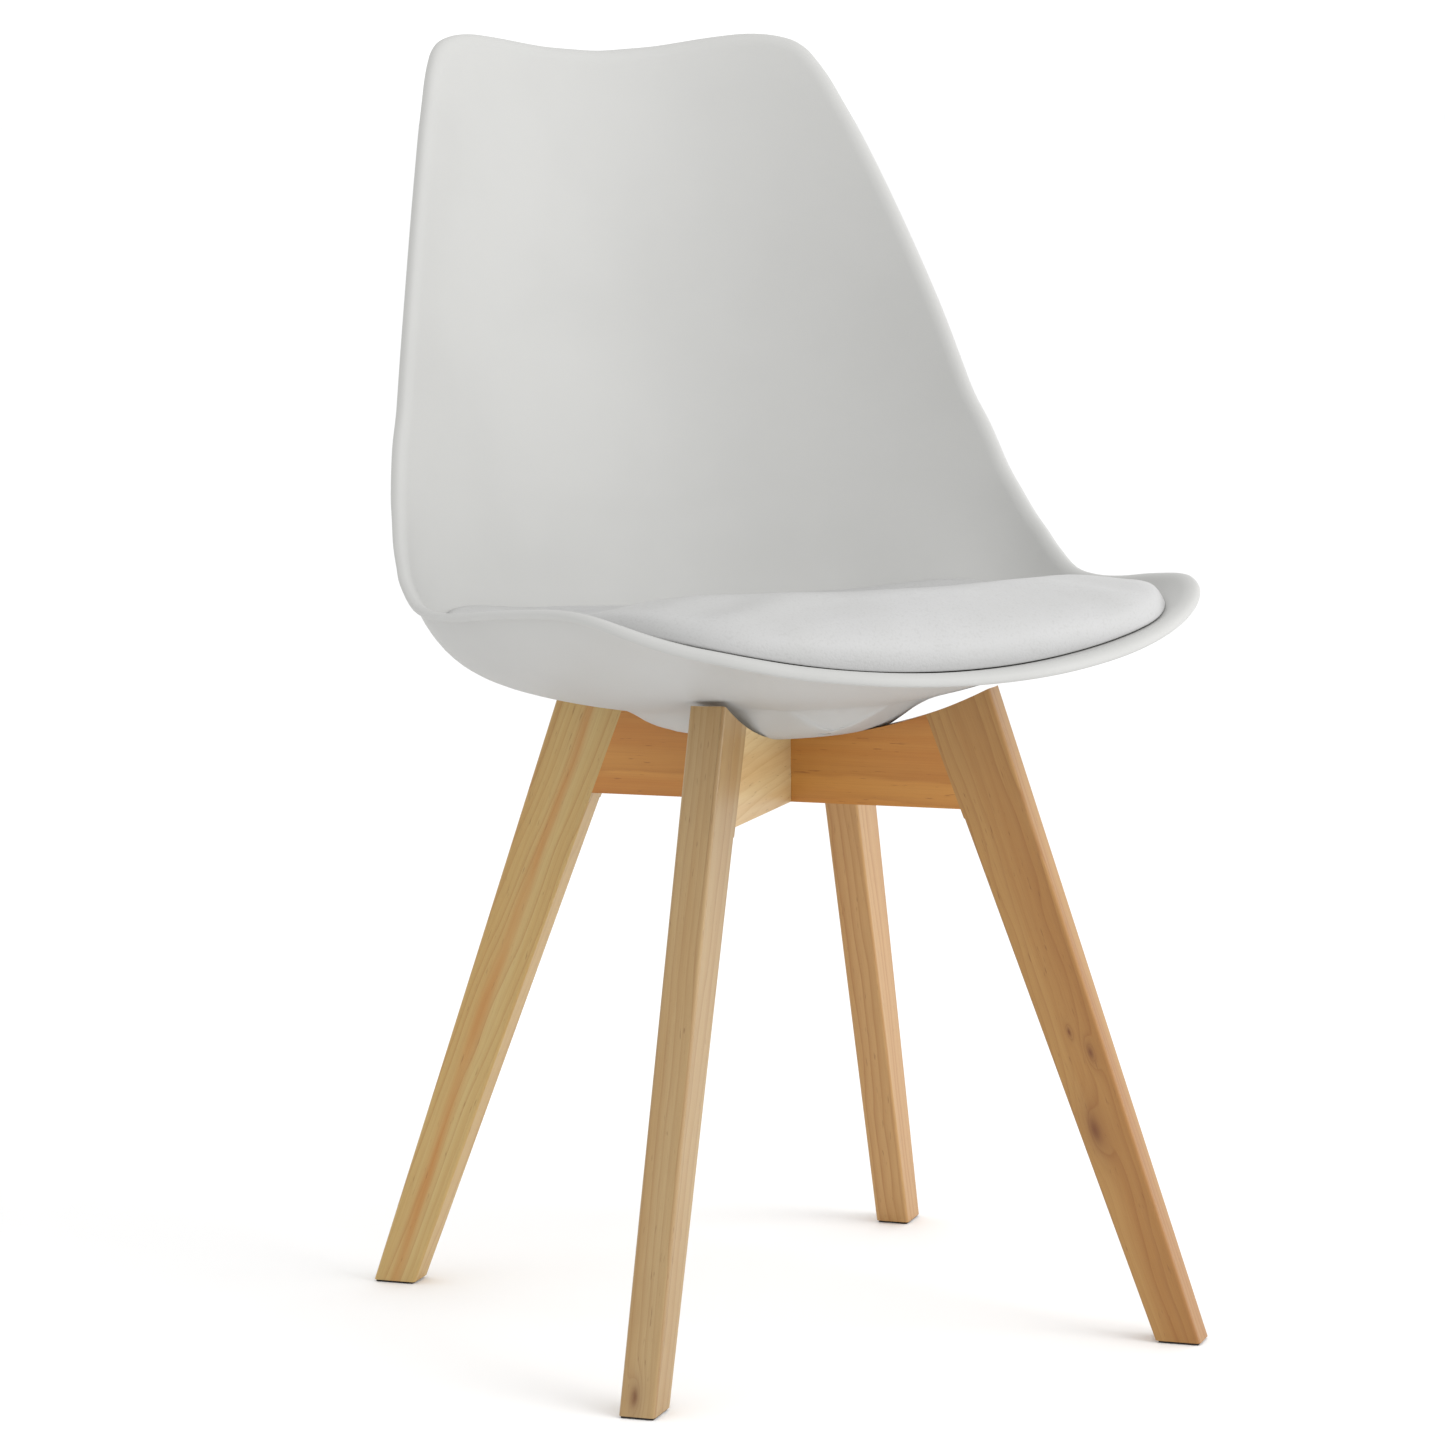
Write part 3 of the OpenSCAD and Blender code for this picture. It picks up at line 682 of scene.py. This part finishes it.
def swell(cushion, shell):
    """Carries the swell of an inflated, remeshed copy over to the clean mesh, whose seam stays crisp."""
    neighbours, reach = 48, 0.016
    bag = make_cushion("bag", 4, np.linspace(0.08, 0.98, 16), False)
    m = bag.modifiers.new("remesh", "REMESH")
    m.mode = "VOXEL"
    m.voxel_size = 0.005
    baked(bag)
    still, clean = coords(bag.data), coords(cushion.data)
    faces = [tuple(p.vertices) for p in shell.data.polygons]
    under = BVHTree.FromPolygons([v.co.copy() for v in shell.data.vertices], faces)
    moved = inflate(bag, [under.find_nearest(Vector(v))[3] for v in still])
    kd = KDTree(len(still))
    for i, v in enumerate(still):
        kd.insert(v, i)
    kd.balance()
    add = np.zeros_like(clean)
    for i, v in enumerate(clean):
        near = kd.find_n(v, neighbours)
        w = np.array([math.exp(-((d / reach) ** 2)) + 1e-6 for _, _, d in near])
        add[i] = (moved[[j for _, j, _ in near]] * w[:, None]).sum(0) / w.sum()
    high = np.array([under.find_nearest(Vector(v))[3] for v in clean])
    add *= smooth((high - 0.003) / 0.010)[:, None]
    cushion.data.vertices.foreach_set("co", (clean + add).ravel())
    cushion.data.update()
    bpy.data.objects.remove(bag)


crown_rings = np.concatenate([np.linspace(0.04, 0.90, 36), [0.925, 0.945, 0.96, 0.972, 0.982, 0.99, 0.996]])
cushion = make_cushion("cushion", 8, crown_rings, True)
swell(cushion, shell)
sharpen(cushion.data, 60)
m = cushion.modifiers.new("fine", "SUBSURF")
m.levels = m.render_levels = 1
dress(cushion, leather())
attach(cushion, "root")
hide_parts("cushion_cover", "cushion_foam")


# ---------------------------------------------------------------- the base: CAD pieces, edges rounded
def finish_edges(o, width, segments=3):
    """Rounds the sharp edges of a CAD piece and evens its shading."""
    m = o.modifiers.new("weld", "WELD")
    m.merge_threshold = 0.00002
    m = o.modifiers.new("round", "BEVEL")
    m.width = width
    m.segments = segments
    m.limit_method = "ANGLE"
    m.angle_limit = math.radians(40)
    m = o.modifiers.new("even", "WEIGHTED_NORMAL")
    m.keep_sharp = False
    m.weight = 80


ARMS = {"front_left": 225, "front_right": 315, "rear_left": 135, "rear_right": 45}
LEG_TILT = 0.361  # outward lean of a leg's middle line, across for each up
LEGS = {
    "front_left": dict(
        seed=2.0, pale=rgb(224, 196, 150), mid=rgb(212, 176, 124), deep=rgb(170, 118, 66),
        centre=(0.030, 0.085, 0.03), spacing=0.0046, contrast=0.7, wander=0.016,
        knots=((-0.211, -0.002, 0.0035, 1),), tint=(0.51, 0.475, 0.40)),
    "front_right": dict(
        seed=11.3, pale=rgb(220, 182, 128), mid=rgb(205, 158, 100), deep=rgb(166, 106, 54),
        centre=(-0.055, 0.060, -0.04), contrast=0.7, tint=(0.525, 0.437, 0.280),
        knots=((-0.073, -0.004, 0.0062, 0), (-0.027, 0.010, 0.0026, 0), (-0.011, 0.001, 0.0016, 0))),
    "rear_left": dict(
        seed=23.9, pale=rgb(222, 190, 136), mid=rgb(214, 172, 112), deep=rgb(178, 116, 58),
        centre=(0.060, 0.030, 0.05), streak=0.25, contrast=0.7, tint=(0.65, 0.69, 0.60),
        heart=(0.002, 0.0040, 0.75, rgb(208, 138, 70))),
    "rear_right": dict(
        seed=37.1, pale=rgb(226, 188, 140), mid=rgb(214, 170, 116), deep=rgb(178, 118, 66),
        centre=(0.045, -0.070, 0.02), contrast=0.75, wander=0.018, tint=(0.58, 0.51, 0.365)),
}
RAILS = {
    "lower": ("front_left", dict(
        seed=51.0, pale=rgb(222, 186, 134), mid=rgb(212, 166, 110), deep=rgb(172, 112, 56),
        centre=(0.075, -0.045, 0.10), spacing=0.0060, contrast=0.45, wander=0.020, tint=(0.83, 0.94, 1.0))),
    "upper": ("front_right", dict(
        seed=64.7, pale=rgb(214, 160, 98), mid=rgb(202, 140, 76), deep=rgb(156, 90, 38),
        centre=(0.010, -0.160, -0.012), spacing=0.0026, contrast=0.75, wander=0.006, streak=0.45,
        tint=(0.74, 0.65, 0.355))),
}


def arm(where):
    """The level direction from the rails' crossing to a leg."""
    a = math.radians(ARMS[where])
    return Vector((math.cos(a), math.sin(a), 0))


def wooden(node, along, across, width, look):
    """Gives a CAD stick its own piece of pine and rounded edges."""
    lo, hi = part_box(node)
    dress(nodes[node], wood("wood_" + node, (lo + hi) / 2, along, across, **look))
    finish_edges(nodes[node], width)


for where, look in LEGS.items():
    out = arm(where)
    wooden("leg_" + where, Vector((0, 0, 1)) - LEG_TILT * out, out + Vector((0, 0, LEG_TILT)), 0.0009, look)
for which, (where, look) in RAILS.items():
    wooden("rail_" + which, arm(where), Vector((0, 0, 1)), 0.0006, look)
dowel_wood = wood("wood_dowels", (0, 0, 0.35), (1, 1, 0), (0, 0, 1), 80.0, rgb(228, 200, 156),
                  rgb(220, 188, 138), rgb(190, 146, 92), (0.02, 0.03, 0.0), 0.0030)
dress(nodes["leg_dowels"], dowel_wood)
steel = metal("zinc_steel", (0.60, 0.61, 0.63), 0.30)
for n in ("base_bolts", "base_washers", "cushion_screws"):
    dress(nodes[n], steel)
    finish_edges(nodes[n], 0.0003, 2)
dress(nodes["shell_inserts"], metal("brass", (0.78, 0.60, 0.30), 0.28))
dress(nodes["cushion_board"], dull("fibreboard", rgb(120, 98, 76), rgb(92, 72, 54), 0.75, 900))
glide_mat = dull("glide_felt", rgb(52, 46, 42), rgb(34, 30, 28), 0.8, 700)
for where in ARMS:
    dress(nodes["glide_" + where], glide_mat)
    finish_edges(nodes["glide_" + where], 0.0005)


# ---------------------------------------------------------------- floor and light
def plane(name, size, z, mat):
    bm = bmesh.new()
    bmesh.ops.create_grid(bm, x_segments=1, y_segments=1, size=size)
    me = bpy.data.meshes.new(name)
    bm.to_mesh(me)
    bm.free()
    o = add_object(name, me)
    o.location = (0, 0, z)
    dress(o, mat)


def floor_paint():
    g = Graph("floor_paint")
    n = g.noise(g.coord, 3, 3, 0.5)
    g.set(Base_Color=g.mix(n, (0.90, 0.90, 0.90), (0.92, 0.92, 0.92)))
    g.shader.inputs["Roughness"].default_value = 0.9
    g.shader.inputs["Specular IOR Level"].default_value = 0.1
    return g.mat


plane("floor", 60, 0, floor_paint())


def area(name, place, target, size, power):
    data = bpy.data.lights.new(name, "AREA")
    data.shape = "RECTANGLE"
    data.size, data.size_y = size
    data.energy = power
    o = bpy.data.objects.new(name, data)
    scene.collection.objects.link(o)
    o.location = place
    o.rotation_euler = (Vector(target) - Vector(place)).to_track_quat("-Z", "Y").to_euler()


world = bpy.data.worlds.new("world")
scene.world = world
world.use_nodes = True
sky = world.node_tree.nodes["Background"]
sky.inputs["Color"].default_value = (1.0, 1.0, 1.0, 1)
sky.inputs["Strength"].default_value = 1.12
area("key", (1.9, -2.7, 2.5), (0, 0, 0.5), (2.4, 2.4), 62)
area("side", (2.7, -1.3, 0.4), (0, 0, 0.2), (1.6, 0.7), 16)
